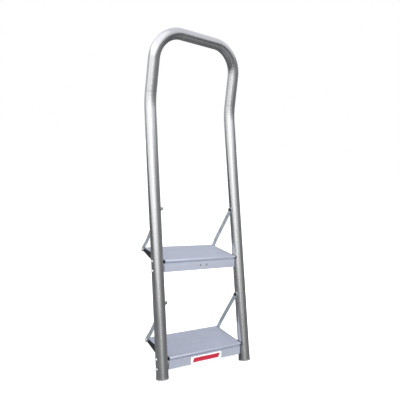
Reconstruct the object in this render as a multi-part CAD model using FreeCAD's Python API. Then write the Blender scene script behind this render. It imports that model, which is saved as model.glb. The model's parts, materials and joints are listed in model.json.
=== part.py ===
import FreeCAD, Part
import math
import os

from FreeCAD import Rotation, Vector

# Two-tread ladder with a tall hoop handrail. Millimetres, +Z up, treads level.
# +X is the climber's right, +Y is the way the climber faces, and -Y is where the climber stands.
#
# The solids are laid out from the point midway between the two rail ends, then moved once,
# so that the origin is the centre of the bottom of the whole ladder's box.
# A tread's own section is drawn as (back, down): back from its front edge, down from its top.

# ---- hoop rail: one tube, bent six ways, cut square at both ends ----
tube_od = 40.0
tube_wall = 1.5
rail_gauge = 350.0            # centre to centre of the two rails
lower_run = 909.5             # along a rail, from its end to the corner of the back bend
upper_run = 241.0             # from that corner to the centre line of the top bar
rail_lean = 19.6              # degrees back from upright, below the bend
upper_lean = 4.4              # degrees back from upright, above the bend
back_bend_radius = 250.0      # centre line radius where the lean changes
corner_radius = 101.0         # centre line radius of the two top corners

# ---- foot plugs, pushed into the rail ends ----
plug_flange = 4.0
plug_overhang = 1.0           # the flange stands this far out past the tube
plug_depth = 20.0
plug_wall = 2.5
plug_clearance = 0.1
plug_edge = 1.5

# ---- treads: two lengths of one extruded section ----
first_tread_height = 65.0     # rail end centre to the top of the lower tread
tread_spacing = 290.0
tread_depth = 146.0
tread_lead = 15.0             # front edge ahead of the rail's centre line, at the tread's top
tread_height = 40.0
sheet = 2.2
nosing_radius = 3.75
groove_pitch = 6.0
groove_width = 1.8
groove_depth = 0.6
groove_margin = 13.0          # plain strip kept at the front and back of the top
recess_end = 11.0             # down to where the fascia starts
recess_web_lap = 0.4          # the web behind the recess runs this far into the upper bolt's port
fascia_slope = 12.0           # degrees, the foot of the fascia stands forward
fascia_wall = 2.0
fascia_lip = 9.0
rear_lip = 10.5
stiffener_depth = 14.0
stiffener_foot = 9.0
stiffener_places = (0.36, 0.66)   # of the tread's depth, back from its front edge
label_hole = 5.0
label_hole_spacing = 26.0
label_hole_middle = 10.0      # the pair is off to the climber's right
label_hole_down = 24.0

# ---- plugs that close the upper tread's two holes; the label covers the lower tread's ----
hole_plug_head = 7.0
hole_plug_head_height = 0.9
hole_plug_edge = 0.4
hole_plug_grip = 1.5          # the shank reaches this far past the fascia's wall
hole_plug_clearance = 0.05    # radial, between the shank and its hole

# ---- screw ports in the section, and the screws that go into them ----
bolt = 6.0
bolt_length = 60.0
bolt_head = 11.5
bolt_head_height = 3.6
bolt_socket = 4.0             # hexagon socket, across flats
lower_bolt_down = 35.0
port_wall = 1.4
port_sink = 0.3               # the upper bolt's port runs this far into the top sheet
screw = 5.0
screw_length = 16.0
screw_head = 9.0
screw_head_height = 2.8
screw_socket = 3.0
rear_port_sink = 0.1          # the same for the rear screw's port
rear_port_lap = 0.7           # and this far into the rear lip
thread_clearance = 0.05       # radial, between a screw and its thread
hole_clearance = 0.3          # radial, between a screw and a plain hole

# ---- end plates, between the treads and the rails ----
plate = 3.0
plate_lug = 4.8               # radius of the lug round the lower bolt
plate_rear = 9.5
plate_nose = 9.5
plate_nose_lead = 0.6
plate_waist = 3.0             # ahead of the rail's centre line, between nose and lug

# ---- braces, from a tread's rear corner up to the rail ----
brace_rise = 157.0            # tread top to the brace's upper hole
brace_width = 15.0
brace_thickness = 3.0
joggle_start = 14.0           # from the lower hole
joggle_length = 22.0
brace_bolt_length = 16.0
hex_across_flats = 10.0
hex_height = 4.0
hex_chamfer = 0.5
washer_od = 12.0
washer = 1.6
insert_od = 9.0               # rivet nut in the rail's inner wall
insert_length = 14.0
insert_bulge = 11.5
insert_bulge_length = 4.0
insert_gap = 0.05             # clear of the tube's hole and of its inside

# ---- plain label on the lower fascia ----
label_width = 130.0
label_height = 24.0
label_thickness = 0.6
label_corner = 3.0
label_down = 27.0

upper_bolt_down = sheet + port_wall + bolt / 2 - port_sink
rear_port_down = sheet + port_wall + screw / 2 - rear_port_sink
rear_port_inset = fascia_wall + port_wall + screw / 2 - rear_port_lap   # from the tread's rear edge

lean = math.radians(rail_lean)
tube_r = tube_od / 2
inner_plane = rail_gauge / 2 - tube_r            # where a rail's inner side is touched
outer_plane = rail_gauge / 2 + tube_r
tread_half = inner_plane - plate
tread_tops = {"lower": first_tread_height, "upper": first_tread_height + tread_spacing}
sides = {"left": -1, "right": 1}
ALONG_X = Vector(1, 0, 0)
SAME_PLACE = 0.01


def rail_y(z):
    """The rail's centre line, at a height below the back bend."""
    return z * math.tan(lean)


def along_rail(distance, side):
    """A point on a rail's centre line, a distance up from its end."""
    return Vector(side * rail_gauge / 2, distance * math.sin(lean), distance * math.cos(lean))


def cylinder(radius, start, length, direction):
    return Part.makeCylinder(radius, length, start, direction)


def rod(radius, point, x_from, x_to):
    """A cylinder along X through a point's height and depth."""
    low, high = min(x_from, x_to), max(x_from, x_to)
    return cylinder(radius, Vector(low, point.y, point.z), high - low, ALONG_X)


def rim(shape, centre):
    """The shape's round edges that are centred on a point."""
    return [edge for edge in shape.Edges
            if isinstance(edge.Curve, Part.Circle) and edge.Curve.Center.isEqual(centre, SAME_PLACE)]


# ---------------------------------------------------------------- hoop rail

def bent_path(points, radii):
    """Straight runs between the points, joined by tangent arcs of the given radii."""
    edges = []
    start = points[0]
    for before, corner, after, radius in zip(points, points[1:], points[2:], radii):
        to_before = (before - corner).normalize()
        to_after = (after - corner).normalize()
        half_turn = (math.pi - to_before.getAngle(to_after)) / 2
        setback = radius * math.tan(half_turn)
        bisector = (to_before + to_after).normalize()
        middle = corner + bisector * (radius / math.cos(half_turn) - radius)
        arc_start = corner + to_before * setback
        arc_end = corner + to_after * setback
        edges.append(Part.LineSegment(start, arc_start).toShape())
        edges.append(Part.Arc(arc_start, middle, arc_end).toShape())
        start = arc_end
    edges.append(Part.LineSegment(start, points[-1]).toShape())
    return Part.Wire(edges)


def make_hoop_rail():
    tilt = math.radians(upper_lean)
    upper = Vector(0, math.sin(tilt), math.cos(tilt)) * upper_run
    ends = [along_rail(plug_flange, side) for side in (-1, 1)]
    bends = [along_rail(lower_run, side) for side in (-1, 1)]
    points = [ends[0], bends[0], bends[0] + upper, bends[1] + upper, bends[1], ends[1]]
    radii = [back_bend_radius, corner_radius, corner_radius, back_bend_radius]
    path = bent_path(points, radii)
    direction = along_rail(1, -1) - along_rail(0, -1)
    outline = Part.Wire(Part.Circle(ends[0], direction, tube_r).toShape())
    bore = Part.Wire(Part.Circle(ends[0], direction, tube_r - tube_wall).toShape())
    tube = path.makePipeShell([outline], True, True).cut(path.makePipeShell([bore], True, True))
    section_area = math.pi * (tube_r ** 2 - (tube_r - tube_wall) ** 2)
    print("hoop tube: volume over section times length", tube.Volume / (section_area * path.Length))

    holes = []
    for side in sides.values():
        for top in tread_tops.values():
            for point in bolt_points(top):
                reach = tube_r + tube_wall
                centre = side * rail_gauge / 2
                holes.append(rod(bolt / 2 + hole_clearance, point, centre - reach, centre + reach))
            point = brace_top(top)
            holes.append(rod(insert_od / 2, point, side * inner_plane, side * rail_gauge / 2))
    return tube.cut(Part.makeCompound(holes))


def make_foot_plug(side):
    direction = along_rail(1, side) - along_rail(0, side)
    body_r = tube_r - tube_wall - plug_clearance
    flange = cylinder(tube_r + plug_overhang, along_rail(0, side), plug_flange, direction)
    flange = flange.makeFillet(plug_edge, rim(flange, along_rail(0, side)))
    body = cylinder(body_r, along_rail(plug_flange, side), plug_depth, direction)
    hollow = cylinder(body_r - plug_wall, along_rail(plug_flange, side), plug_depth, direction)
    return flange.fuse(body.cut(hollow)).removeSplitter()


# ---------------------------------------------------------------- tread section

def spot(back, down, x=0.0):
    """A point of a tread's section, with the tread's front top edge at the origin."""
    return Vector(x, back, -down)


def bolt_spots():
    """Where the rail's centre line passes the two bolts of one side."""
    return [(tread_lead - down * math.tan(lean), down) for down in (upper_bolt_down, lower_bolt_down)]


def rear_spot():
    return (tread_depth - rear_port_inset, rear_port_down)


def front_top(top):
    """A tread's front top edge, at the middle of its width."""
    return Vector(0, rail_y(top) - tread_lead, top)


def bolt_points(top):
    return [front_top(top) + spot(back, down) for back, down in bolt_spots()]


def screw_point(top):
    return front_top(top) + spot(*rear_spot())


def brace_top(top):
    height = top + brace_rise
    return Vector(0, rail_y(height), height)


def polygon(corners, x=0.0):
    points = [spot(back, down, x) for back, down in corners]
    return Part.Face(Part.makePolygon(points + points[:1]))


def slab(back_from, down_from, back_to, down_to):
    return polygon([(back_from, down_from), (back_to, down_from), (back_to, down_to), (back_from, down_to)])


def disc(back, down, radius):
    return Part.Face(Part.Wire(Part.Circle(spot(back, down), ALONG_X, radius).toShape()))


def fascia_point(down, inward=0.0):
    """A point on the fascia's outer face, which is tangent to the lower screw port."""
    slope = math.radians(fascia_slope)
    back, port_down = bolt_spots()[1]
    port_r = bolt / 2 + port_wall
    face_back = back - port_r / math.cos(slope) - (down - port_down) * math.tan(slope)
    return (face_back + inward * math.cos(slope), down + inward * math.sin(slope))


def tread_section():
    foot = tread_height - fascia_wall / 2
    top_sheet = slab(nosing_radius, 0, tread_depth, sheet)
    groove_count = int((tread_depth - 2 * groove_margin) // groove_pitch) + 1
    first_groove = (tread_depth - (groove_count - 1) * groove_pitch) / 2
    for index in range(groove_count):
        middle = first_groove + index * groove_pitch
        half = groove_width / 2
        groove = polygon([(middle - half, 0), (middle + half, 0),
                          (middle + half - groove_depth / 2, groove_depth),
                          (middle - half + groove_depth / 2, groove_depth)])
        top_sheet = top_sheet.cut(groove)

    pieces = [disc(nosing_radius, nosing_radius, nosing_radius)]
    web_rear = bolt_spots()[0][0] - bolt / 2 - port_wall + recess_web_lap
    pieces.append(slab(web_rear - fascia_wall, sheet / 2, web_rear, recess_end + fascia_wall))
    pieces.append(slab(fascia_point(recess_end)[0], recess_end, web_rear, recess_end + fascia_wall))
    pieces.append(polygon([fascia_point(recess_end), fascia_point(foot),
                           fascia_point(foot, fascia_wall), fascia_point(recess_end, fascia_wall)]))
    foot_back = fascia_point(foot, fascia_wall / 2)[0]
    pieces.append(disc(foot_back, foot, fascia_wall / 2))
    pieces.append(slab(foot_back, foot - fascia_wall / 2, foot_back + fascia_lip, foot + fascia_wall / 2))
    pieces.append(slab(tread_depth - fascia_wall, 0, tread_depth, rear_lip))
    for place in stiffener_places:
        middle = place * tread_depth
        pieces.append(slab(middle - fascia_wall / 2, sheet / 2, middle + fascia_wall / 2, stiffener_depth))
        pieces.append(slab(middle - stiffener_foot / 2, stiffener_depth - fascia_wall,
                           middle + stiffener_foot / 2, stiffener_depth))
    ports = [(back, down, bolt / 2) for back, down in bolt_spots()]
    ports.append((*rear_spot(), screw / 2))
    for back, down, radius in ports:
        pieces.append(disc(back, down, radius + port_wall))
    section = top_sheet.fuse(pieces)
    for back, down, radius in ports:
        section = section.cut(disc(back, down, radius))
    return section


def label_hole_places():
    """The two holes' centres on the fascia's outer face, and the direction inward."""
    slope = math.radians(fascia_slope)
    half = label_hole_spacing / 2
    centres = [spot(*fascia_point(label_hole_down), label_hole_middle + x) for x in (-half, half)]
    return centres, Vector(0, math.cos(slope), -math.sin(slope))


def make_tread(top):
    strips = [face.extrude(Vector(2 * tread_half, 0, 0)) for face in tread_section().Faces]
    tread = strips[0].fuse(strips[1:]).removeSplitter()
    tread.translate(Vector(-tread_half, 0, 0))
    ahead = fascia_wall                          # the drill starts this far ahead of the fascia
    through = fascia_wall + 2 * ahead
    centres, inward = label_hole_places()
    for centre in centres:
        tread = tread.cut(cylinder(label_hole / 2, centre - inward * ahead, through, inward))
    tread.translate(front_top(top))
    return tread


def make_hole_plugs(top):
    plugs = []
    centres, inward = label_hole_places()
    for centre in centres:
        front = centre - inward * hole_plug_head_height
        head = cylinder(hole_plug_head / 2, front, hole_plug_head_height, inward)
        head = head.makeFillet(hole_plug_edge, rim(head, front))
        shank_r = label_hole / 2 - hole_plug_clearance
        shank = cylinder(shank_r, centre, fascia_wall + hole_plug_grip, inward)
        plugs.append(head.fuse(shank).removeSplitter())
    shape = Part.makeCompound(plugs)
    shape.translate(front_top(top))
    return shape


# ---------------------------------------------------------------- end plates

def tangent_spot(corner, centre, radius, turn):
    """Where the line from a corner touches a circle; turn picks one of the two touches."""
    away_back, away_down = corner[0] - centre[0], corner[1] - centre[1]
    distance = math.hypot(away_back, away_down)
    angle = math.atan2(away_down, away_back) + turn * math.acos(radius / distance)
    return (centre[0] + radius * math.cos(angle), centre[1] + radius * math.sin(angle))


def make_end_plate(top, side):
    lug_back, lug_down = bolt_spots()[1]
    waist = (tread_lead - plate_nose * math.tan(lean) - plate_waist, plate_nose)
    rear_corner = (tread_depth, plate_rear)
    rear_touch = tangent_spot(rear_corner, (lug_back, lug_down), plate_lug, 1)
    front_touch = tangent_spot(waist, (lug_back, lug_down), plate_lug, -1)
    lug_low = (lug_back - plate_lug * math.sin(lean), lug_down + plate_lug * math.cos(lean))
    nose_back = -plate_nose_lead
    nose_r = nosing_radius
    shoulder = nose_r * (1 - math.sqrt(0.5))

    x = min(side * inner_plane, side * tread_half)
    corners = [(nose_back + nose_r, 0), (tread_depth, 0), rear_corner, rear_touch]
    edges = [Part.LineSegment(spot(*a, x), spot(*b, x)).toShape() for a, b in zip(corners, corners[1:])]
    edges.append(Part.Arc(spot(*rear_touch, x), spot(*lug_low, x), spot(*front_touch, x)).toShape())
    corners = [front_touch, waist, (nose_back, plate_nose), (nose_back, nose_r)]
    edges += [Part.LineSegment(spot(*a, x), spot(*b, x)).toShape() for a, b in zip(corners, corners[1:])]
    edges.append(Part.Arc(spot(nose_back, nose_r, x), spot(nose_back + shoulder, shoulder, x),
                          spot(nose_back + nose_r, 0, x)).toShape())
    shape = Part.Face(Part.Wire(edges)).extrude(Vector(plate, 0, 0))
    shape.translate(front_top(top))
    for point in bolt_points(top):
        shape = shape.cut(rod(bolt / 2 + hole_clearance, point, side * tread_half, side * inner_plane))
    hole = rod(screw / 2 + hole_clearance, screw_point(top), side * tread_half, side * inner_plane)
    return shape.cut(hole)


# ---------------------------------------------------------------- braces

def make_brace(top, side):
    """A flat bar whose lower end is set out over the end plate by one thickness."""
    low, high = screw_point(top), brace_top(top)
    length = (high - low).Length
    end_r = brace_width / 2
    step = -side * brace_thickness
    # Side view of the bar: distance up the bar, and x away from the rail's inner plane.
    line = [(-end_r, 0), (joggle_start, 0), (joggle_start + joggle_length, step), (length + end_r, step)]
    outline = line + [(up, x - step) for up, x in reversed(line)]
    points = [Vector(x, 0, up) for up, x in outline]
    bar = Part.Face(Part.makePolygon(points + points[:1])).extrude(Vector(0, brace_width, 0))
    bar.translate(Vector(0, -end_r, 0))
    # Front view: a bar with round ends and two holes.
    reach = 2 * brace_thickness
    front = Part.makeBox(2 * reach, brace_width, length, Vector(-reach, -end_r, 0))
    for up in (0, length):
        front = front.fuse(rod(end_r, Vector(0, 0, up), -reach, reach))
    bar = bar.common(front)
    for up, size in ((0, screw), (length, bolt)):
        bar = bar.cut(rod(size / 2 + hole_clearance, Vector(0, 0, up), -reach, reach))
    turn = Rotation(Vector(0, 0, 1), high - low)
    bar.Placement = FreeCAD.Placement(low + Vector(side * inner_plane, 0, 0), turn)
    return bar


# ---------------------------------------------------------------- fasteners

def hexagon(across_flats, point, x, thickness):
    corner = across_flats / math.sqrt(3)
    turns = [math.pi / 3 * k for k in range(6)]
    corners = [Vector(x, corner * math.cos(turn), corner * math.sin(turn)) for turn in turns]
    shape = Part.Face(Part.makePolygon(corners + corners[:1])).extrude(Vector(thickness, 0, 0))
    shape.translate(Vector(0, point.y, point.z))
    return shape


def button_screw(size, length, head, head_height, socket, point, x, side):
    """A domed screw pointing inward from the plane x, with its head on the outside."""
    shank = rod(size / 2 - thread_clearance, point, x, x - side * length)
    dome_r = (head ** 2 / 4 + head_height ** 2) / (2 * head_height)
    centre = Vector(x + side * (head_height - dome_r), point.y, point.z)
    dome = Part.makeSphere(dome_r, centre).common(rod(head / 2, point, x, x + side * head_height))
    recess = hexagon(socket, point, x + side * head_height / 2, side * head_height)
    return shank.fuse(dome.cut(recess)).removeSplitter()


def make_rail_bolts(top, side):
    heads_at = side * outer_plane
    sizes = (bolt, bolt_length, bolt_head, bolt_head_height, bolt_socket)
    return Part.makeCompound([button_screw(*sizes, point, heads_at, side) for point in bolt_points(top)])


def make_brace_screw(top, side):
    head_at = side * (inner_plane + brace_thickness)
    sizes = (screw, screw_length, screw_head, screw_head_height, screw_socket)
    return button_screw(*sizes, screw_point(top), head_at, side)


def make_brace_washer(top, side):
    face = side * (inner_plane - brace_thickness)
    inner = face - side * washer
    disc_shape = rod(washer_od / 2, brace_top(top), face, inner)
    return disc_shape.cut(rod(bolt / 2 + hole_clearance, brace_top(top), face, inner))


def make_brace_bolt(top, side):
    face = side * (inner_plane - brace_thickness - washer)
    outer = face - side * hex_height
    point = brace_top(top)
    blank = rod(hex_across_flats / math.sqrt(3), point, face, outer)
    blank = blank.makeChamfer(hex_chamfer, rim(blank, Vector(outer, point.y, point.z)))
    head = hexagon(hex_across_flats, point, face, outer - face).common(blank)
    shank = rod(bolt / 2 - thread_clearance, point, face, face + side * brace_bolt_length)
    return head.fuse(shank).removeSplitter()


def make_rivet_nut(top, side):
    point = brace_top(top)
    mouth = side * inner_plane
    bore_r = tube_r - tube_wall
    bulge_r = insert_bulge / 2
    bulge_at = side * (rail_gauge / 2 - math.sqrt(bore_r ** 2 - bulge_r ** 2) + insert_gap)
    body = rod(insert_od / 2 - insert_gap, point, mouth, mouth + side * insert_length)
    bulge = rod(bulge_r, point, bulge_at, bulge_at + side * insert_bulge_length)
    thread = rod(bolt / 2, point, mouth, mouth + side * insert_length)
    return body.fuse(bulge).cut(thread)


# ---------------------------------------------------------------- label

def make_label(top):
    label = Part.makeBox(label_width, label_thickness, label_height)
    corners = [edge for edge in label.Edges if abs(edge.Length - label_thickness) < SAME_PLACE]
    label = label.makeFillet(label_corner, corners)
    label.translate(Vector(-label_width / 2, -label_thickness, -label_height / 2))
    turn = Rotation(ALONG_X, -fascia_slope)
    place = front_top(top) + spot(*fascia_point(label_down))
    label.Placement = FreeCAD.Placement(place, turn).multiply(label.Placement)
    return label


# ---------------------------------------------------------------- assembly

parts = {"hoop_rail": make_hoop_rail()}
for side_name, side_sign in sides.items():
    parts[f"{side_name}_foot_plug"] = make_foot_plug(side_sign)
for level, tread_top in tread_tops.items():
    parts[f"{level}_tread"] = make_tread(tread_top)
    for side_name, side_sign in sides.items():
        place_name = f"{level}_{side_name}"
        parts[f"{place_name}_end_plate"] = make_end_plate(tread_top, side_sign)
        parts[f"{place_name}_rail_bolts"] = make_rail_bolts(tread_top, side_sign)
        parts[f"{place_name}_brace"] = make_brace(tread_top, side_sign)
        parts[f"{place_name}_brace_screw"] = make_brace_screw(tread_top, side_sign)
        parts[f"{place_name}_brace_washer"] = make_brace_washer(tread_top, side_sign)
        parts[f"{place_name}_brace_bolt"] = make_brace_bolt(tread_top, side_sign)
        parts[f"{place_name}_rivet_nut"] = make_rivet_nut(tread_top, side_sign)
parts["upper_tread_hole_plugs"] = make_hole_plugs(tread_tops["upper"])
parts["label"] = make_label(tread_tops["lower"])

whole = Part.makeCompound(list(parts.values())).optimalBoundingBox(False, False)
origin = Vector(whole.Center.x, whole.Center.y, whole.ZMin)

os.makedirs("parts", exist_ok=True)
for name, shape in parts.items():
    shape.translate(-origin)
    shape.exportStep(f"parts/{name}.step")
    print(name, "solids", len(shape.Solids), "valid", shape.isValid(), "volume", round(shape.Volume))
print("moved by", -origin, "size", whole.XLength, whole.YLength, whole.ZLength)
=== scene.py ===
# %% [markdown]
# # A two-tread ladder with a tall hoop handrail
#
# The real ladder is one bent steel tube, two lengths of aluminium extrusion, four black nylon
# end plates, four flat braces and the screws that hold them. The engineering model already has
# each piece at its real size and place. This script gives the pieces their looks: it rebuilds the
# ones that need finer shape, rounds the edges of the rest, and paints every surface with nodes.
# The frame is loaded first, because every position below is read from it.

# %% Load the frame
import json
import math
from collections import namedtuple

import bpy
from mathutils import Matrix, Vector


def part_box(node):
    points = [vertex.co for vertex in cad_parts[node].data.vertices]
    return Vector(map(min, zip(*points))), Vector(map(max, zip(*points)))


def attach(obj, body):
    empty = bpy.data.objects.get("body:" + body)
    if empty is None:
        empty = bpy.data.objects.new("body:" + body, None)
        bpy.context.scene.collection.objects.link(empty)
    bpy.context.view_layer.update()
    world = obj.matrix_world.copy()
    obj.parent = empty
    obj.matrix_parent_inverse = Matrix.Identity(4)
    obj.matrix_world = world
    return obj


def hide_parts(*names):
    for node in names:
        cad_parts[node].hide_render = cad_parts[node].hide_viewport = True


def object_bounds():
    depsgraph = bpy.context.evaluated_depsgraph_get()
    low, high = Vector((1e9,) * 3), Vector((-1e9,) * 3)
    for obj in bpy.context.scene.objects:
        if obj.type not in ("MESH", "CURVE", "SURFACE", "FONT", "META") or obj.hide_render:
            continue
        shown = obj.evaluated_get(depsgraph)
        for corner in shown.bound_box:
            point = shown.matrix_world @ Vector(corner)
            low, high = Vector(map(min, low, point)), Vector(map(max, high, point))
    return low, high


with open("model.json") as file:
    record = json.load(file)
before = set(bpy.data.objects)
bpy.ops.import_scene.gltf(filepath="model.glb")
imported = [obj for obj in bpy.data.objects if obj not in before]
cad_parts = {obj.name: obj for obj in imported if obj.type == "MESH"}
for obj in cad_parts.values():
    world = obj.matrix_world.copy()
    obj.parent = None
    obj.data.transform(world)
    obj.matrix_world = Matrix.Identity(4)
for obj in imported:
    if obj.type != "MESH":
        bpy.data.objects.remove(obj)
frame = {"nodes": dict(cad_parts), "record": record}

cad_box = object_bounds()
nodes = frame["nodes"]
record = frame["record"]
print(len(nodes), "nodes in the frame, from", tuple(cad_box[0]), "to", tuple(cad_box[1]))

# %% [markdown]
# ## Where the rails stand
#
# The record says where the centre of each rail's end face is, and which way the rail runs down to
# it. From those two points and the tube's box come the gauge, the tube's radius and the lean.
# Reading them here, instead of typing them, keeps this file true if the ladder is made wider.

# %% Read the rails
MM = 0.001
mounts = {mount["name"]: mount for mount in record["mounts"]}
left_foot = Vector(mounts["left_foot"]["pos_m"])
right_foot = Vector(mounts["right_foot"]["pos_m"])
up_rail = -Vector(mounts["left_foot"]["axis"]).normalized()
gauge = right_foot.x - left_foot.x
tube_low, tube_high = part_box("hoop_rail")
tube_radius = (tube_high.x - tube_low.x - gauge) / 2
print("gauge", round(gauge / MM, 1), "tube", round(2 * tube_radius / MM, 1), "mm")

# %% [markdown]
# ## Helpers for meshes
#
# A new piece starts as lists of points and faces. Smooth shading with a sharp-edge angle keeps
# round stretches round and corners crisp. Each piece rides on the frame's one body, takes its
# finish, and hides the engineering node it stands for.

# %% Make a piece
SHARP_ANGLE = math.radians(32)


def new_piece(name, points, faces, material, stands_for):
    mesh = bpy.data.meshes.new(name)
    mesh.from_pydata(points, [], faces)
    mesh.validate()
    mesh.shade_smooth()
    mesh.set_sharp_from_angle(angle=SHARP_ANGLE)
    mesh.materials.append(material)
    piece = bpy.data.objects.new(name, mesh)
    bpy.context.scene.collection.objects.link(piece)
    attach(piece, "root")
    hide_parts(stands_for)
    print(name, len(points), "points,", len(faces), "faces")
    return piece


def ring_faces(first, second, count):
    """Quads between two rings of points, given the index of each ring's first point."""
    pairs = [(turn, (turn + 1) % count) for turn in range(count)]
    return [(first + a, first + b, second + b, second + a) for a, b in pairs]


# %% [markdown]
# ## Helpers for materials
#
# A shader tree is easier to read when a node and what feeds it are written in one call. An input
# is either a plain number or colour, or the socket of an earlier node, which gets linked.

# %% Add a node
def add_node(tree, kind, inputs=None, **settings):
    made = tree.nodes.new(kind)
    for name, value in settings.items():
        setattr(made, name, value)
    for name, value in (inputs or {}).items():
        if isinstance(value, bpy.types.NodeSocket):
            tree.links.new(value, made.inputs[name])
        else:
            made.inputs[name].default_value = value
    return made


def calculate(tree, operation, first, second=0.0):
    made = add_node(tree, "ShaderNodeMath", {0: first, 1: second}, operation=operation)
    return made.outputs["Value"]


def blend_colours(tree, factor, first, second):
    made = add_node(tree, "ShaderNodeMix", data_type="RGBA")
    for index, value in ((0, factor), (6, first), (7, second)):
        if isinstance(value, bpy.types.NodeSocket):
            tree.links.new(value, made.inputs[index])
        else:
            made.inputs[index].default_value = value
    return made.outputs[2]


def spread(tree, value, low, high, smallest=0.0, largest=1.0):
    """Maps a value from smallest..largest to low..high."""
    made = add_node(tree, "ShaderNodeMapRange", {
        "Value": value, "From Min": smallest, "From Max": largest, "To Min": low, "To Max": high})
    return made.outputs["Result"]


def grey(level, blue=0.0):
    """A grey, or with blue above nought a slightly cold one."""
    return (level, level * (1 + blue / 2), level * (1 + blue), 1.0)


def lavender(level):
    return (level, level, level * 1.10, 1.0)


# %% Start a node group or a material
def new_group(name, inputs, outputs):
    tree = bpy.data.node_groups.new(name, "ShaderNodeTree")
    for socket, (kind, value) in inputs.items():
        made = tree.interface.new_socket(socket, in_out="INPUT", socket_type="NodeSocket" + kind)
        if value is not None:
            made.default_value = value
    for socket, kind in outputs.items():
        tree.interface.new_socket(socket, in_out="OUTPUT", socket_type="NodeSocket" + kind)
    enter = tree.nodes.new("NodeGroupInput").outputs
    leave = tree.nodes.new("NodeGroupOutput").inputs
    print("group", name, "takes", list(inputs), "and gives", list(outputs))
    return tree, enter, leave


def place_group(tree, group, inputs):
    made = tree.nodes.new("ShaderNodeGroup")
    made.node_tree = group
    for name, value in inputs.items():
        if isinstance(value, bpy.types.NodeSocket):
            tree.links.new(value, made.inputs[name])
        else:
            made.inputs[name].default_value = value
    return made.outputs


def new_material(name, viewport_colour):
    material = bpy.data.materials.new(name)
    material.use_nodes = True
    material.diffuse_color = viewport_colour
    return material, material.node_tree, material.node_tree.nodes["Principled BSDF"]


# %% [markdown]
# ## Drawn lines
#
# Tube is pulled through a die, extrusion is pushed through one and flat bar is rolled, so all
# three carry faint lines along their length. One group makes them: noise that is squeezed across
# the piece and stretched along it. Fine lines catch the light, and broad ones change how bright
# a whole strip of the surface looks. A painted picture of lines would repeat, and noise doesn't.

# %% Drawn lines group
drawn_lines, enter, leave = new_group(
    "drawn lines",
    {"Place": ("Vector", None), "Fine": ("Vector", (900.0, 900.0, 5.0)),
     "Broad": ("Vector", (200.0, 200.0, 1.0))},
    {"Fine lines": "Float", "Broad lines": "Float"})
for scale_name, line_name, detail in (("Fine", "Fine lines", 3.0), ("Broad", "Broad lines", 2.0)):
    stretched = add_node(drawn_lines, "ShaderNodeVectorMath",
                         {0: enter["Place"], 1: enter[scale_name]}, operation="MULTIPLY")
    noise = add_node(drawn_lines, "ShaderNodeTexNoise", {
        "Vector": stretched.outputs["Vector"], "Scale": 1.0, "Detail": detail, "Roughness": 0.6})
    contrasted = spread(drawn_lines, noise.outputs["Fac"], 0.0, 1.0, 0.3, 0.7)
    drawn_lines.links.new(contrasted, leave[line_name])

# %% [markdown]
# ## Handling marks
#
# Nothing that is carried and climbed is evenly clean. Broad smudges change the gloss a little,
# and a few small specks are where it was knocked. Both come from noise in the piece's own space.

# %% Handling marks group
handling, enter, leave = new_group(
    "handling marks",
    {"Place": ("Vector", None), "Smudges per metre": ("Float", 14.0),
     "Specks per metre": ("Float", 260.0)},
    {"Smudge": "Float", "Speck": "Float"})
smudge = add_node(handling, "ShaderNodeTexNoise", {
    "Vector": enter["Place"], "Scale": enter["Smudges per metre"], "Detail": 4.0, "Roughness": 0.55,
    "Distortion": 0.6})
speck = add_node(handling, "ShaderNodeTexVoronoi", {
    "Vector": enter["Place"], "Scale": enter["Specks per metre"], "Randomness": 1.0}, feature="F1")
rare = add_node(handling, "ShaderNodeTexNoise", {
    "Vector": enter["Place"], "Scale": enter["Smudges per metre"], "Detail": 1.0})
speck_size = spread(handling, rare.outputs["Fac"], 0.0, 0.16, 0.52, 0.75)
inside = calculate(handling, "LESS_THAN", speck.outputs["Distance"], speck_size)
handling.links.new(spread(handling, smudge.outputs["Fac"], 0.0, 1.0, 0.32, 0.68), leave["Smudge"])
handling.links.new(inside, leave["Speck"])

# %% [markdown]
# ## Worn edges
#
# Edges rub bright on metal and pale on plastic. The group finds them by asking how far a slightly
# rounded surface would turn away from the real one: on a flat it doesn't turn, near an edge it
# does. Noise breaks the line up, because wear is never even.

# %% Worn edges group
worn_edges, enter, leave = new_group(
    "worn edges",
    {"Place": ("Vector", None), "Radius": ("Float", 0.0006), "Patches per metre": ("Float", 90.0)},
    {"Edge": "Float"})
rounded = add_node(worn_edges, "ShaderNodeBevel", {"Radius": enter["Radius"]}, samples=6)
surface = add_node(worn_edges, "ShaderNodeNewGeometry")
agreement = add_node(worn_edges, "ShaderNodeVectorMath", {
    0: rounded.outputs["Normal"], 1: surface.outputs["Normal"]}, operation="DOT_PRODUCT")
turned = calculate(worn_edges, "SUBTRACT", 1.0, agreement.outputs["Value"])
patches = add_node(worn_edges, "ShaderNodeTexNoise", {
    "Vector": enter["Place"], "Scale": enter["Patches per metre"], "Detail": 3.0})
kept = spread(worn_edges, patches.outputs["Fac"], 0.15, 1.0, 0.35, 0.65)
wear = calculate(worn_edges, "MULTIPLY", spread(worn_edges, turned, 0.0, 1.0, 0.01, 0.16), kept)
worn_edges.links.new(wear, leave["Edge"])

# %% [markdown]
# ## Satin stainless tube
#
# The rail is stainless steel tube, polished to a satin. Along its length run the die's faint
# lines, which split one broad reflection into several narrow ones. The lines have to follow the
# bends, so the rail's mesh carries its own coordinates, straightened out, under the name
# tube_place. Where the bending tool gripped, the polish is a little duller.

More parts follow.
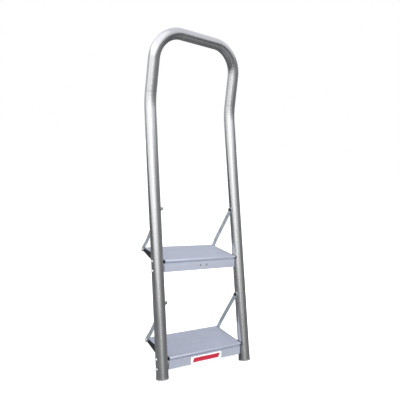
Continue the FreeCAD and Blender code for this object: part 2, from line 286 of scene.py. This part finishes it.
# %% Satin tube material
def make_satin_tube():
    material, tree, shader = new_material("satin tube", grey(0.6))
    place = add_node(tree, "ShaderNodeAttribute", attribute_name="tube_place").outputs["Vector"]
    mark = add_node(tree, "ShaderNodeAttribute", attribute_name="tool_mark").outputs["Fac"]
    lines = place_group(tree, drawn_lines, {
        "Place": place, "Fine": (620.0, 620.0, 0.8), "Broad": (190.0, 190.0, 0.5)})
    touched = place_group(tree, handling, {
        "Place": place, "Smudges per metre": 9.0, "Specks per metre": 150.0})
    even = blend_colours(tree, lines["Broad lines"], grey(0.46, 0.02), grey(0.60, 0.03))
    lined = blend_colours(tree, calculate(tree, "MULTIPLY", lines["Fine lines"], 0.30),
                          even, grey(0.68, 0.03))
    marked = blend_colours(tree, calculate(tree, "MULTIPLY", mark, 0.60), lined, grey(0.30))
    dotted = blend_colours(tree, calculate(tree, "MULTIPLY", touched["Speck"], 0.15), marked, grey(0.34))
    tree.links.new(dotted, shader.inputs["Base Color"])
    polish = spread(tree, touched["Smudge"], 0.17, 0.26)
    dulled = calculate(tree, "ADD", polish, calculate(tree, "MULTIPLY", mark, 0.14))
    streaked = calculate(tree, "ADD", dulled, calculate(tree, "MULTIPLY", lines["Fine lines"], 0.05))
    tree.links.new(streaked, shader.inputs["Roughness"])
    fine_relief = calculate(tree, "MULTIPLY", lines["Fine lines"], 0.12)
    relief = calculate(tree, "ADD", fine_relief, lines["Broad lines"])
    bump = add_node(tree, "ShaderNodeBump", {"Strength": 0.45, "Distance": 0.00012, "Height": relief})
    tree.links.new(bump.outputs["Normal"], shader.inputs["Normal"])
    shader.inputs["Metallic"].default_value = 1.0
    return material


# %% [markdown]
# ## Anodised tread
#
# The treads are extruded aluminium with a clear, satin anodised skin: a soft, slightly blue grey
# that spreads the light much more than the tube does. Its lines run across the ladder, along X.
# Where shoes land, the smudges are stronger.

# %% Anodised tread material
def make_anodised_tread():
    material, tree, shader = new_material("anodised tread", grey(0.66, 0.15))
    place = add_node(tree, "ShaderNodeTexCoord").outputs["Object"]
    lines = place_group(tree, drawn_lines, {
        "Place": place, "Fine": (7.0, 1500.0, 1500.0), "Broad": (1.6, 170.0, 170.0)})
    touched = place_group(tree, handling, {
        "Place": place, "Smudges per metre": 17.0, "Specks per metre": 300.0})
    worn = place_group(tree, worn_edges, {"Place": place, "Radius": 0.0005, "Patches per metre": 70.0})
    skin = blend_colours(tree, lines["Broad lines"], (0.56, 0.60, 0.70, 1.0), (0.64, 0.68, 0.78, 1.0))
    lined = blend_colours(tree, calculate(tree, "MULTIPLY", lines["Fine lines"], 0.25),
                          skin, (0.74, 0.77, 0.84, 1.0))
    walked = blend_colours(tree, calculate(tree, "MULTIPLY", touched["Smudge"], 0.22),
                          lined, (0.50, 0.55, 0.62, 1.0))
    dotted = blend_colours(tree, calculate(tree, "MULTIPLY", touched["Speck"], 0.35),
                          walked, (0.40, 0.43, 0.48, 1.0))
    bright = blend_colours(tree, calculate(tree, "MULTIPLY", worn["Edge"], 0.7),
                           dotted, (0.84, 0.86, 0.90, 1.0))
    tree.links.new(bright, shader.inputs["Base Color"])
    satin = spread(tree, touched["Smudge"], 0.40, 0.50)
    rubbed = calculate(tree, "SUBTRACT", satin, calculate(tree, "MULTIPLY", worn["Edge"], 0.12))
    tree.links.new(rubbed, shader.inputs["Roughness"])
    broad_relief = calculate(tree, "MULTIPLY", lines["Broad lines"], 0.8)
    relief = calculate(tree, "ADD", lines["Fine lines"], broad_relief)
    bump = add_node(tree, "ShaderNodeBump", {"Strength": 0.30, "Distance": 0.00008, "Height": relief})
    tree.links.new(bump.outputs["Normal"], shader.inputs["Normal"])
    shader.inputs["Metallic"].default_value = 0.75
    return material


# %% [markdown]
# ## Black nylon and grey plugs
#
# The end plates and the rail's plugs are moulded plastic. A mould leaves a fine pebbled skin,
# which is a small bump from cellular noise, and it scuffs paler along its edges. The two differ
# only in their colours and gloss, so one function makes both.

# %% Moulded plastic materials
def make_moulded(name, body, scuffed, low_gloss, high_gloss):
    material, tree, shader = new_material(name, body)
    place = add_node(tree, "ShaderNodeTexCoord").outputs["Object"]
    touched = place_group(tree, handling, {
        "Place": place, "Smudges per metre": 40.0, "Specks per metre": 420.0})
    worn = place_group(tree, worn_edges, {"Place": place, "Radius": 0.0007, "Patches per metre": 160.0})
    pebbles = add_node(tree, "ShaderNodeTexVoronoi", {"Vector": place, "Scale": 1400.0}, feature="SMOOTH_F1")
    dusty = blend_colours(tree, calculate(tree, "MULTIPLY", touched["Smudge"], 0.22), body, scuffed)
    pale = blend_colours(tree, calculate(tree, "MULTIPLY", worn["Edge"], 0.55), dusty, scuffed)
    tree.links.new(pale, shader.inputs["Base Color"])
    tree.links.new(spread(tree, touched["Smudge"], low_gloss, high_gloss), shader.inputs["Roughness"])
    bump = add_node(tree, "ShaderNodeBump", {
        "Strength": 0.35, "Distance": 0.00012, "Height": pebbles.outputs["Distance"]})
    tree.links.new(bump.outputs["Normal"], shader.inputs["Normal"])
    return material


# %% [markdown]
# ## Plated steel
#
# Bright zinc is a thin metal coat with a cold, slightly green cast that drifts from place to
# place, and it is cloudy where it was dipped and dried. The flat braces also show rolling lines
# along their length. The zinc screws and washers are given colours far darker than zinc: that
# darkness is painted shade. The stainless screws are cleaner and brighter. One function makes
# all three, with its own two colours and gloss.

# %% Plated steel materials
def make_plated(name, cool, warm, low_gloss, high_gloss, line_scale):
    material, tree, shader = new_material(name, cool)
    place = add_node(tree, "ShaderNodeTexCoord").outputs["Object"]
    lines = place_group(tree, drawn_lines, {"Place": place, "Fine": line_scale, "Broad": (60.0, 60.0, 60.0)})
    touched = place_group(tree, handling, {
        "Place": place, "Smudges per metre": 55.0, "Specks per metre": 520.0})
    worn = place_group(tree, worn_edges, {"Place": place, "Radius": 0.0004, "Patches per metre": 220.0})
    cloudy = blend_colours(tree, touched["Smudge"], cool, warm)
    drifting = blend_colours(tree, calculate(tree, "MULTIPLY", lines["Broad lines"], 0.4), cloudy, cool)
    dotted = blend_colours(tree, calculate(tree, "MULTIPLY", touched["Speck"], 0.5), drifting, grey(0.25))
    bright = blend_colours(tree, calculate(tree, "MULTIPLY", worn["Edge"], 0.6), dotted, grey(0.86))
    tree.links.new(bright, shader.inputs["Base Color"])
    tree.links.new(spread(tree, touched["Smudge"], low_gloss, high_gloss), shader.inputs["Roughness"])
    bump = add_node(tree, "ShaderNodeBump", {
        "Strength": 0.30, "Distance": 0.00008, "Height": lines["Fine lines"]})
    tree.links.new(bump.outputs["Normal"], shader.inputs["Normal"])
    shader.inputs["Metallic"].default_value = 1.0
    return material


# %% [markdown]
# ## Label film
#
# The lower tread carries a white vinyl label. A plain red band stands in for whatever is printed
# there, with no lettering. The band is a mask drawn from the label's own coordinates, which run
# in metres from its middle, so its edges stay crisp at any distance. Vinyl is glossy, and its
# surface follows tiny waves in the glue.

# %% Label material
BAND_HALF = (55 * MM, 7.5 * MM)
BAND_SLANT = 0.45
BAND_EDGE = 0.4 * MM


def make_label_film():
    material, tree, shader = new_material("label film", grey(0.85))
    place = add_node(tree, "ShaderNodeAttribute", attribute_name="label_place").outputs["Vector"]
    split = add_node(tree, "ShaderNodeSeparateXYZ", {"Vector": place}).outputs
    slanted = calculate(tree, "SUBTRACT", split["X"], calculate(tree, "MULTIPLY", split["Y"], BAND_SLANT))
    masks = []
    for value, half in ((slanted, BAND_HALF[0]), (split["Y"], BAND_HALF[1])):
        reach = calculate(tree, "ABSOLUTE", value)
        masks.append(spread(tree, reach, 1.0, 0.0, half - BAND_EDGE, half))
    band = calculate(tree, "MULTIPLY", *masks)
    touched = place_group(tree, handling, {
        "Place": place, "Smudges per metre": 60.0, "Specks per metre": 700.0})
    film = blend_colours(tree, touched["Smudge"], (0.62, 0.62, 0.63, 1.0), (0.55, 0.55, 0.56, 1.0))
    ink = blend_colours(tree, touched["Smudge"], (0.36, 0.010, 0.028, 1.0), (0.30, 0.009, 0.025, 1.0))
    printed = blend_colours(tree, band, film, ink)
    tree.links.new(printed, shader.inputs["Base Color"])
    tree.links.new(spread(tree, touched["Smudge"], 0.24, 0.40), shader.inputs["Roughness"])
    waves = add_node(tree, "ShaderNodeTexNoise", {"Vector": place, "Scale": 120.0, "Detail": 2.0})
    bump = add_node(tree, "ShaderNodeBump", {
        "Strength": 0.2, "Distance": 0.0002, "Height": waves.outputs["Fac"]})
    tree.links.new(bump.outputs["Normal"], shader.inputs["Normal"])
    return material


# %% Make every finish once
finishes = {
    "satin_tube": make_satin_tube(),
    "anodised_tread": make_anodised_tread(),
    "black_plate": make_moulded("black nylon", (0.009, 0.009, 0.013, 1.0), grey(0.05), 0.46, 0.60),
    "grey_plug": make_moulded("grey plug", grey(0.15), grey(0.30), 0.40, 0.55),
    "zinc_brace": make_plated("zinc brace", (0.76, 0.86, 0.90, 1.0), (0.82, 0.88, 0.91, 1.0),
                              0.40, 0.55, (1400.0, 240.0, 240.0)),
    # painted shade: the zinc fasteners' near-black colours stand in for the shade they sit in
    "zinc_fastener": make_plated("shade-darkened zinc fastener", (0.10, 0.105, 0.11, 1.0), (0.15, 0.145, 0.13, 1.0),
                                 0.30, 0.46, (900.0, 900.0, 900.0)),
    "stainless_fastener": make_plated("stainless fastener", grey(0.62, 0.02), grey(0.72, 0.01),
                                      0.16, 0.30, (1200.0, 1200.0, 1200.0)),
    "label_film": make_label_film(),
}
print("finishes:", ", ".join(finishes))

# %% [markdown]
# ## The rail's route
#
# The tube has four bends: back at waist height on each side, and one at each top corner. Its
# centre line is straight runs joined by tangent arcs, which is how a bending machine thinks of it
# too. The script walks along it and keeps stations, each with its place, its direction, how far
# along the tube it is and how hard the tube is bent there. A curve object with a round bevel would
# be quicker, but it couldn't carry the small marks that bending leaves.

# %% Walk along the rail
TUBE_WALL = 1.5 * MM
PLUG_FLANGE = 4 * MM
LOWER_RUN = 909.5 * MM
UPPER_RUN = 241 * MM
UPPER_LEAN = math.radians(4.4)
BACK_BEND = 250 * MM
CORNER_BEND = 101 * MM
STRAIGHT_STEP = 12 * MM
BEND_STEP = 1.6 * MM
BEND_EASE = 10 * MM            # a bend's ovalness fades in and out over this length
CREASE_STEP = 0.7 * MM
CREASE_BELOW_TOP = 5 * MM

Station = namedtuple("Station", "point direction inside run bend into_bend from_crease")


def walk_straight(start, end, run):
    length = (end - start).length
    count = max(2, round(length / STRAIGHT_STEP))
    direction = (end - start).normalized()
    steps = [length * step / count for step in range(count)]
    return [Station(start + direction * far, direction, Vector(), run + far, 0.0, 0.0, math.inf)
            for far in steps]


def walk_bend(corner, before, after, radius, run):
    """Stations round one bend, and the place where the next straight starts."""
    arriving = (corner - before).normalized()
    leaving = (after - corner).normalized()
    turn = arriving.angle(leaving)
    start = corner - arriving * radius * math.tan(turn / 2)
    to_centre = (leaving - arriving * arriving.dot(leaving)).normalized()
    centre = start + to_centre * radius
    length = radius * turn
    back_bend = radius == BACK_BEND
    count = round(length / (CREASE_STEP if back_bend else BEND_STEP))
    crease_at = length - CREASE_BELOW_TOP if arriving.z > 0 else CREASE_BELOW_TOP
    stations = []
    for step in range(count):
        angle = turn * step / count
        inside = to_centre * math.cos(angle) - arriving * math.sin(angle)
        direction = arriving * math.cos(angle) + to_centre * math.sin(angle)
        far = length * step / count
        ease = min(1.0, far / BEND_EASE, (length - far) / BEND_EASE)
        stations.append(Station(centre - inside * radius, direction, inside, run + far,
                                ease * CORNER_BEND / radius, far - length / 2,
                                far - crease_at if back_bend else math.inf))
    return stations, corner + leaving * radius * math.tan(turn / 2), run + length


def walk_rail():
    upper = Vector((0, math.sin(UPPER_LEAN), math.cos(UPPER_LEAN))) * UPPER_RUN
    ends = [foot + up_rail * PLUG_FLANGE for foot in (left_foot, right_foot)]
    backs = [foot + up_rail * LOWER_RUN for foot in (left_foot, right_foot)]
    corners = [ends[0], backs[0], backs[0] + upper, backs[1] + upper, backs[1], ends[1]]
    radii = [BACK_BEND, CORNER_BEND, CORNER_BEND, BACK_BEND]
    stations, run, start = [], 0.0, corners[0]
    for before, corner, after, radius in zip(corners, corners[1:], corners[2:], radii):
        turn = (corner - before).angle(after - corner)
        bend_start = corner - (corner - before).normalized() * radius * math.tan(turn / 2)
        stations += walk_straight(start, bend_start, run)
        run += (bend_start - start).length
        bend, start, run = walk_bend(corner, before, after, radius, run)
        stations += bend
    stations += walk_straight(start, corners[-1], run)
    last = (corners[-1] - start).normalized()
    run += (corners[-1] - start).length
    stations.append(Station(corners[-1], last, Vector(), run, 0.0, 0.0, math.inf))
    return stations


rail_stations = walk_rail()
print(len(rail_stations), "stations along", round(rail_stations[-1].run, 3), "m of tube")

# %% [markdown]
# ## The rail's skin
#
# At each station stands a ring of points. A bend isn't a perfect torus: the tube goes slightly
# oval, the metal on the inside of the bend bunches into very shallow ripples, and the back bends
# keep a faint crease where the tool pressed. These are tenths of a millimetre, but polished metal
# shows them in its reflections, so they are real geometry here. A second ring inside gives the
# wall its thickness, and the two ends close the tube.

# %% Build the rail
AROUND = 72
OVAL = 0.45 * MM
RIPPLE = 0.07 * MM
RIPPLE_PITCH = 11 * MM
CREASE = 0.3 * MM
CREASE_WIDTH = 1.8 * MM


def press_in(station, facing):
    """How far the skin is pressed in, where facing is 1 on the inside of the bend and -1 outside."""
    oval = OVAL * station.bend * (facing * facing - 0.5)
    wave = math.cos(2 * math.pi * station.into_bend / RIPPLE_PITCH)
    ripple = RIPPLE * station.bend * max(0.0, facing) * wave
    return oval + ripple


def crease_share(station):
    """1 in the middle of a crease, falling to 0 beside it."""
    return math.exp(-(station.from_crease / CREASE_WIDTH) ** 2)


def rail_ring(station, side, radius):
    """The ring's points, with the straightened coordinates and the tool mark for each."""
    up = side.cross(station.direction)
    points, places, marks = [], [], []
    for step in range(AROUND):
        angle = 2 * math.pi * step / AROUND
        outward = side * math.cos(angle) + up * math.sin(angle)
        facing = outward.dot(station.inside)
        crease = crease_share(station) * (0.4 + 0.6 * abs(facing))
        reach = radius - press_in(station, facing) - CREASE * crease
        points.append(station.point + outward * reach)
        places.append(Vector((math.cos(angle) * tube_radius, math.sin(angle) * tube_radius, station.run)))
        marks.append(min(1.0, crease + 0.35 * station.bend * max(0.0, facing)))
    return points, places, marks


def build_rail():
    points, places, marks, faces, starts = [], [], [], [], []
    for radius in (tube_radius, tube_radius - TUBE_WALL):
        side = Vector((1, 0, 0))
        skin = []
        for station in rail_stations:
            side = (side - station.direction * side.dot(station.direction)).normalized()
            skin.append(len(points))
            ring = rail_ring(station, side, radius)
            for kept, made in zip((points, places, marks), ring):
                kept += made
        starts.append(skin)
    outer, inner = starts
    for first, second in zip(outer, outer[1:]):
        faces += ring_faces(first, second, AROUND)
    for first, second in zip(inner, inner[1:]):
        faces += ring_faces(second, first, AROUND)
    faces += ring_faces(inner[0], outer[0], AROUND)
    faces += ring_faces(outer[-1], inner[-1], AROUND)
    return points, places, marks, faces


points, places, marks, faces = build_rail()
hoop_tube = new_piece("hoop_tube", points, faces, finishes["satin_tube"], "hoop_rail")
attribute = hoop_tube.data.attributes.new("tube_place", "FLOAT_VECTOR", "POINT")
attribute.data.foreach_set("vector", [number for place in places for number in place])
attribute = hoop_tube.data.attributes.new("tool_mark", "FLOAT", "POINT")
attribute.data.foreach_set("value", marks)
lows = [min(point[axis] for point in points) for axis in range(3)]
highs = [max(point[axis] for point in points) for axis in range(3)]
print("rail is out of its frame box by",
      [round((made - wanted) / MM, 2) for made, wanted in zip(lows + highs, [*tube_low, *tube_high])], "mm")

# %% [markdown]
# ## Foot plugs
#
# Each rail end is closed by a moulded plug: a flange that stands just proud of the tube, and a
# hollow body with thin rings that grip the bore. It is a turned shape, so a short profile is spun
# about the rail's axis. The end face has a shallow dish and two grip rings, as such plugs do.

# %% Spin a profile
SPIN_STEPS = 96


def spin(profile, centre, axis):
    """A closed profile of (radius, up) points, turned about an axis through the centre."""
    side = axis.orthogonal().normalized()
    other = axis.cross(side)
    points, faces = [], []
    for radius, up in profile:
        for step in range(SPIN_STEPS):
            angle = 2 * math.pi * step / SPIN_STEPS
            outward = side * math.cos(angle) + other * math.sin(angle)
            points.append(centre + axis * up + outward * radius)
    count = len(profile)
    for index in range(count - 1):
        faces += ring_faces((index + 1) * SPIN_STEPS, index * SPIN_STEPS, SPIN_STEPS)
    first = list(range(SPIN_STEPS))
    last = [(count - 1) * SPIN_STEPS + step for step in range(SPIN_STEPS)]
    faces += [tuple(first), tuple(reversed(last))]
    return points, faces


def fillet(centre_radius, centre_up, radius, start, end, steps=6):
    """Points round an arc of a profile, between two angles in degrees."""
    turns = [math.radians(start + (end - start) * step / steps) for step in range(steps + 1)]
    return [(centre_radius + radius * math.cos(turn), centre_up + radius * math.sin(turn)) for turn in turns]


# %% Build the plugs
PLUG_OVERHANG = 1 * MM
PLUG_EDGE = 1.5 * MM
PLUG_DEPTH = 20 * MM
PLUG_WALL = 2.5 * MM
PLUG_CLEARANCE = 0.1 * MM
DISH = 0.5 * MM
GRIP_RINGS = (13.5 * MM, 9.5 * MM)
BARB = 0.08 * MM


def plug_profile():
    """From the middle of the end face, round the flange, up the body and down into its hollow."""
    rim = tube_radius + PLUG_OVERHANG
    body = tube_radius - TUBE_WALL - PLUG_CLEARANCE
    profile = [(1 * MM, DISH)]
    for ring in reversed(GRIP_RINGS):
        profile += [(ring - 1.1 * MM, DISH), (ring - 0.8 * MM, 0.1 * MM),
                    (ring + 0.8 * MM, 0.1 * MM), (ring + 1.1 * MM, DISH)]
    profile += [(rim - 4 * MM, DISH), (rim - 3.5 * MM, 0.0)]
    profile += fillet(rim - PLUG_EDGE, PLUG_EDGE, PLUG_EDGE, -90, 0)
    profile += [(rim, PLUG_FLANGE - 0.3 * MM), (rim - 0.3 * MM, PLUG_FLANGE), (body - 0.3 * MM, PLUG_FLANGE)]
    for rib in range(4):
        up = PLUG_FLANGE + (3 + 4.5 * rib) * MM
        profile += [(body - 0.3 * MM, up), (body + BARB, up + 0.4 * MM), (body - 0.3 * MM, up + 1.6 * MM)]
    top = PLUG_FLANGE + PLUG_DEPTH
    profile += [(body - 0.3 * MM, top), (body - PLUG_WALL, top), (body - PLUG_WALL, PLUG_FLANGE + 0.5 * MM),
                (1 * MM, PLUG_FLANGE)]
    return profile


for name, foot in (("left", left_foot), ("right", right_foot)):
    points, faces = spin(plug_profile(), foot, up_rail)
    new_piece(f"{name}_foot_cap", points, faces, finishes["grey_plug"], f"{name}_foot_plug")

# %% [markdown]
# ## The label
#
# The label is a sheet of film with rounded corners, stuck to the sloping front of the lower
# tread. Its outline is four arcs. Two smaller copies of the outline, one on top of the film and one
# at its edge, round the film over, so that it catches light along its rim as real film does.

# %% Build the label
FASCIA_SLOPE = math.radians(12)
LABEL_CORNER = 3 * MM
LABEL_FILM = 0.6 * MM
CORNER_STEPS = 6
label_low, label_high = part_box("label")
label_width = label_high.x - label_low.x
label_height = (label_high.z - label_low.z - LABEL_FILM * math.sin(FASCIA_SLOPE)) / math.cos(FASCIA_SLOPE)
print("label", round(label_width / MM, 1), "by", round(label_height / MM, 1), "mm")


def rounded_outline(inset):
    half_x, half_y = label_width / 2 - inset, label_height / 2 - inset
    corner = LABEL_CORNER - inset
    outline = []
    for start, side_x, side_y in ((0, 1, 1), (90, -1, 1), (180, -1, -1), (270, 1, -1)):
        for step in range(CORNER_STEPS + 1):
            turn = math.radians(start + 90 * step / CORNER_STEPS)
            outline.append((side_x * (half_x - corner) + corner * math.cos(turn),
                            side_y * (half_y - corner) + corner * math.sin(turn)))
    return outline


def build_label():
    across, up = Vector((1, 0, 0)), Vector((0, math.sin(FASCIA_SLOPE), math.cos(FASCIA_SLOPE)))
    proud = Vector((0, -math.cos(FASCIA_SLOPE), math.sin(FASCIA_SLOPE)))
    back = (label_low + label_high) / 2 - proud * LABEL_FILM / 2
    points, places, faces = [], [], []
    for inset, height in ((0.1 * MM, 0.0), (0.0, 0.4), (0.08 * MM, 0.8), (0.25 * MM, 1.0)):
        for x, y in rounded_outline(inset):
            points.append(back + across * x + up * y + proud * height * LABEL_FILM)
            places.append((x, y, height * LABEL_FILM))
    count = len(points) // 4
    for ring in range(3):
        faces += ring_faces(ring * count, (ring + 1) * count, count)
    faces += [tuple(range(3 * count, 4 * count)), tuple(reversed(range(count)))]
    return points, places, faces


points, places, faces = build_label()
label_sheet = new_piece("label_sheet", points, faces, finishes["label_film"], "label")
attribute = label_sheet.data.attributes.new("label_place", "FLOAT_VECTOR", "POINT")
attribute.data.foreach_set("vector", [number for place in places for number in place])

# %% [markdown]
# ## Rounding the machined pieces
#
# The treads, plates, braces and screws keep their engineering shape. A cut edge on a real piece
# is never perfectly sharp, though, and the tiny radius is what catches the light. Three modifiers
# do it without touching the mesh: weld the corners together, dissolve the flat triangles into
# whole faces, then bevel what is still a sharp corner.

# %% Soften edges
EDGE_RADIUS = {"tread": 0.22 * MM, "end_plate": 0.4 * MM, "brace": 0.35 * MM, "washer": 0.15 * MM,
               "hole_plugs": 0.1 * MM, "bolts": 0.12 * MM, "bolt": 0.12 * MM, "screw": 0.12 * MM,
               "nut": 0.12 * MM}


def soften(piece, radius):
    weld = piece.modifiers.new("weld corners", "WELD")
    weld.merge_threshold = 0.002 * MM
    flats = piece.modifiers.new("whole faces", "DECIMATE")
    flats.decimate_type = "DISSOLVE"
    flats.angle_limit = math.radians(0.5)
    bevel = piece.modifiers.new("rounded edges", "BEVEL")
    bevel.width = radius
    bevel.segments = 2
    bevel.limit_method = "ANGLE"
    bevel.angle_limit = math.radians(35)
    bevel.harden_normals = True
    bevel.use_clamp_overlap = True


slots = {row["node"]: row["material_slot"] for row in record["subparts"]}
for name, piece in nodes.items():
    if piece.hide_render:
        continue
    piece.data.materials.clear()
    piece.data.materials.append(finishes[slots[name]])
    ending = next(kind for kind in EDGE_RADIUS if name.endswith(kind))
    soften(piece, EDGE_RADIUS[ending])
    print(name, "is", slots[name])

# %% [markdown]
# ## The floor and the studio
#
# The ladder stands in a white studio. The floor is pale paper that the camera sees nearly white,
# with a soft shadow at the feet. Polished metal is only as good as what it reflects, so around it
# are soft lights and calmer walls: brightest on the left, dim behind and darkest on the right.

# %% Floor
FLOOR_REACH = 12.0
FLOOR_GAP = 0.2 * MM


def make_floor():
    material, tree, shader = new_material("studio paper", grey(0.9))
    place = add_node(tree, "ShaderNodeTexCoord").outputs["Object"]
    fibres = add_node(tree, "ShaderNodeTexNoise", {"Vector": place, "Scale": 60.0, "Detail": 4.0})
    paper = blend_colours(tree, fibres.outputs["Fac"], grey(0.88), grey(0.92))
    ray = add_node(tree, "ShaderNodeLightPath").outputs
    lit = blend_colours(tree, ray["Is Glossy Ray"], paper, grey(0.20))
    glow = blend_colours(tree, ray["Is Camera Ray"], grey(0.0), paper)
    tree.links.new(lit, shader.inputs["Base Color"])
    tree.links.new(glow, shader.inputs["Emission Color"])
    shader.inputs["Emission Strength"].default_value = 0.7
    shader.inputs["Roughness"].default_value = 0.9
    shader.inputs["Specular IOR Level"].default_value = 0.0
    mesh = bpy.data.meshes.new("floor")
    corners = [(x * FLOOR_REACH, y * FLOOR_REACH, 0) for x, y in ((-1, -1), (1, -1), (1, 1), (-1, 1))]
    mesh.from_pydata(corners, [], [(0, 1, 2, 3)])
    mesh.materials.append(material)
    floor = bpy.data.objects.new("floor", mesh)
    floor.location.z = cad_box[0].z - FLOOR_GAP
    bpy.context.scene.collection.objects.link(floor)


make_floor()

# %% Where the camera and the lights stand
CAMERA_SIDE = math.radians(37.8)      # the camera stands this far round to the left of the front


def around(turn):
    """A level direction from the ladder: turn is degrees to the camera's left."""
    angle = CAMERA_SIDE + math.radians(turn)
    return Vector((-math.sin(angle), -math.cos(angle), 0))


# %% Walls that the metal sees
LEFT_WALL, LEFT_SKY = 0.50, 1.00      # how bright the studio is on the camera's side and to its left
RIGHT_WALL, RIGHT_SKY = 0.25, 0.39
BACK_WALL = 0.40


def side_mask(tree, level, turn, low, high):
    """1 towards a turn round the ladder, falling to 0 away from it."""
    facing = add_node(tree, "ShaderNodeVectorMath", {0: level, 1: around(turn)}, operation="DOT_PRODUCT")
    return spread(tree, facing.outputs["Value"], 0.0, 1.0, low, high)


def make_world():
    world = bpy.data.worlds.new("studio")
    world.use_nodes = True
    tree = world.node_tree
    tree.nodes.clear()
    toward = add_node(tree, "ShaderNodeTexCoord").outputs["Generated"]
    height = add_node(tree, "ShaderNodeSeparateXYZ", {"Vector": toward}).outputs["Z"]
    flat = add_node(tree, "ShaderNodeVectorMath", {0: toward, 1: (1.0, 1.0, 0.0)}, operation="MULTIPLY")
    level = add_node(tree, "ShaderNodeVectorMath", {0: flat.outputs["Vector"]}, operation="NORMALIZE")
    level = level.outputs["Vector"]
    left = blend_colours(tree, spread(tree, height, 0.0, 1.0, 0.20, 0.38), grey(LEFT_WALL), grey(LEFT_SKY))
    right = blend_colours(tree, spread(tree, height, 0.0, 1.0, 0.10, 0.60), grey(RIGHT_WALL), grey(RIGHT_SKY))
    back = blend_colours(tree, side_mask(tree, level, 175, 0.40, 0.85), left, lavender(BACK_WALL))
    walls = blend_colours(tree, side_mask(tree, level, -95, 0.55, 0.80), back, right)
    camera_ray = add_node(tree, "ShaderNodeLightPath").outputs["Is Camera Ray"]
    colour = blend_colours(tree, camera_ray, walls, grey(1.0))
    background = add_node(tree, "ShaderNodeBackground", {"Color": colour, "Strength": 1.0})
    output = tree.nodes.new("ShaderNodeOutputWorld")
    tree.links.new(background.outputs["Background"], output.inputs["Surface"])
    bpy.context.scene.world = world


make_world()

# %% Soft lights
def soft_light(name, place, aim, width, height, radiance, colour):
    data = bpy.data.lights.new(name, "AREA")
    data.shape = "RECTANGLE"
    data.size, data.size_y = width, height
    data.energy = radiance * math.pi * width * height
    data.color = colour
    lamp = bpy.data.objects.new(name, data)
    lamp.location = place
    lamp.rotation_mode = "QUATERNION"
    lamp.rotation_quaternion = (Vector(aim) - place).to_track_quat("-Z", "Y")
    lamp.visible_camera = False
    bpy.context.scene.collection.objects.link(lamp)
    print(name, "at", tuple(round(x, 2) for x in place))
    return lamp


def standing_light(name, turn, distance, lower_edge, width, height, radiance, colour=(1.0, 1.0, 1.0)):
    """An upright soft box that faces the ladder."""
    up = Vector((0, 0, lower_edge + height / 2))
    return soft_light(name, around(turn) * distance + up, up, width, height, radiance, colour)


standing_light("left window", 40, 1.6, 0.56, 3.2, 1.8, 0.90)
standing_light("back window", 128, 2.0, 0.50, 3.0, 1.8, 0.22)
standing_light("front strip", -13, 2.6, 0.2, 0.10, 2.0, 2.0)
COOL_LIGHT = (0.93, 0.93, 1.0)
OVERHEAD_PLACE, OVERHEAD_AIM = Vector((0.0, 0.1, 1.7)), (0, 0.1, 0.5)
soft_light("overhead", OVERHEAD_PLACE, OVERHEAD_AIM, 3.0, 3.0, 0.66, COOL_LIGHT)
fill = standing_light("front fill", -45, 2.6, 0.1, 2.4, 1.2, 9.0, COOL_LIGHT)
fill.visible_glossy = False

# %% [markdown]
# ## The camera
#
# The camera stands a step to the left of the ladder's front and a little below the height of the
# bends, so it looks down on both treads. It is tipped a few degrees, so the rails lean to the
# right in the frame.

# %% Camera
LENS, SENSOR = 43.62, 36.0            # millimetres
CAMERA_PLACE = (-1.0222, -1.3039, 0.8230)
CAMERA_TURN = math.radians(-37.82)
CAMERA_TILT = math.radians(80.80)
CAMERA_TIP = math.radians(8.76)


def make_camera():
    data = bpy.data.cameras.new("camera")
    data.lens = LENS
    data.sensor_width = SENSOR
    camera = bpy.data.objects.new("camera", data)
    turn = Matrix.Rotation(CAMERA_TURN, 4, "Z")
    tilt = Matrix.Rotation(CAMERA_TILT, 4, "X")
    tip = Matrix.Rotation(CAMERA_TIP, 4, "Z")
    camera.matrix_world = Matrix.Translation(CAMERA_PLACE) @ turn @ tilt @ tip
    bpy.context.scene.collection.objects.link(camera)
    bpy.context.scene.camera = camera


make_camera()
bpy.context.scene.view_settings.view_transform = "Standard"
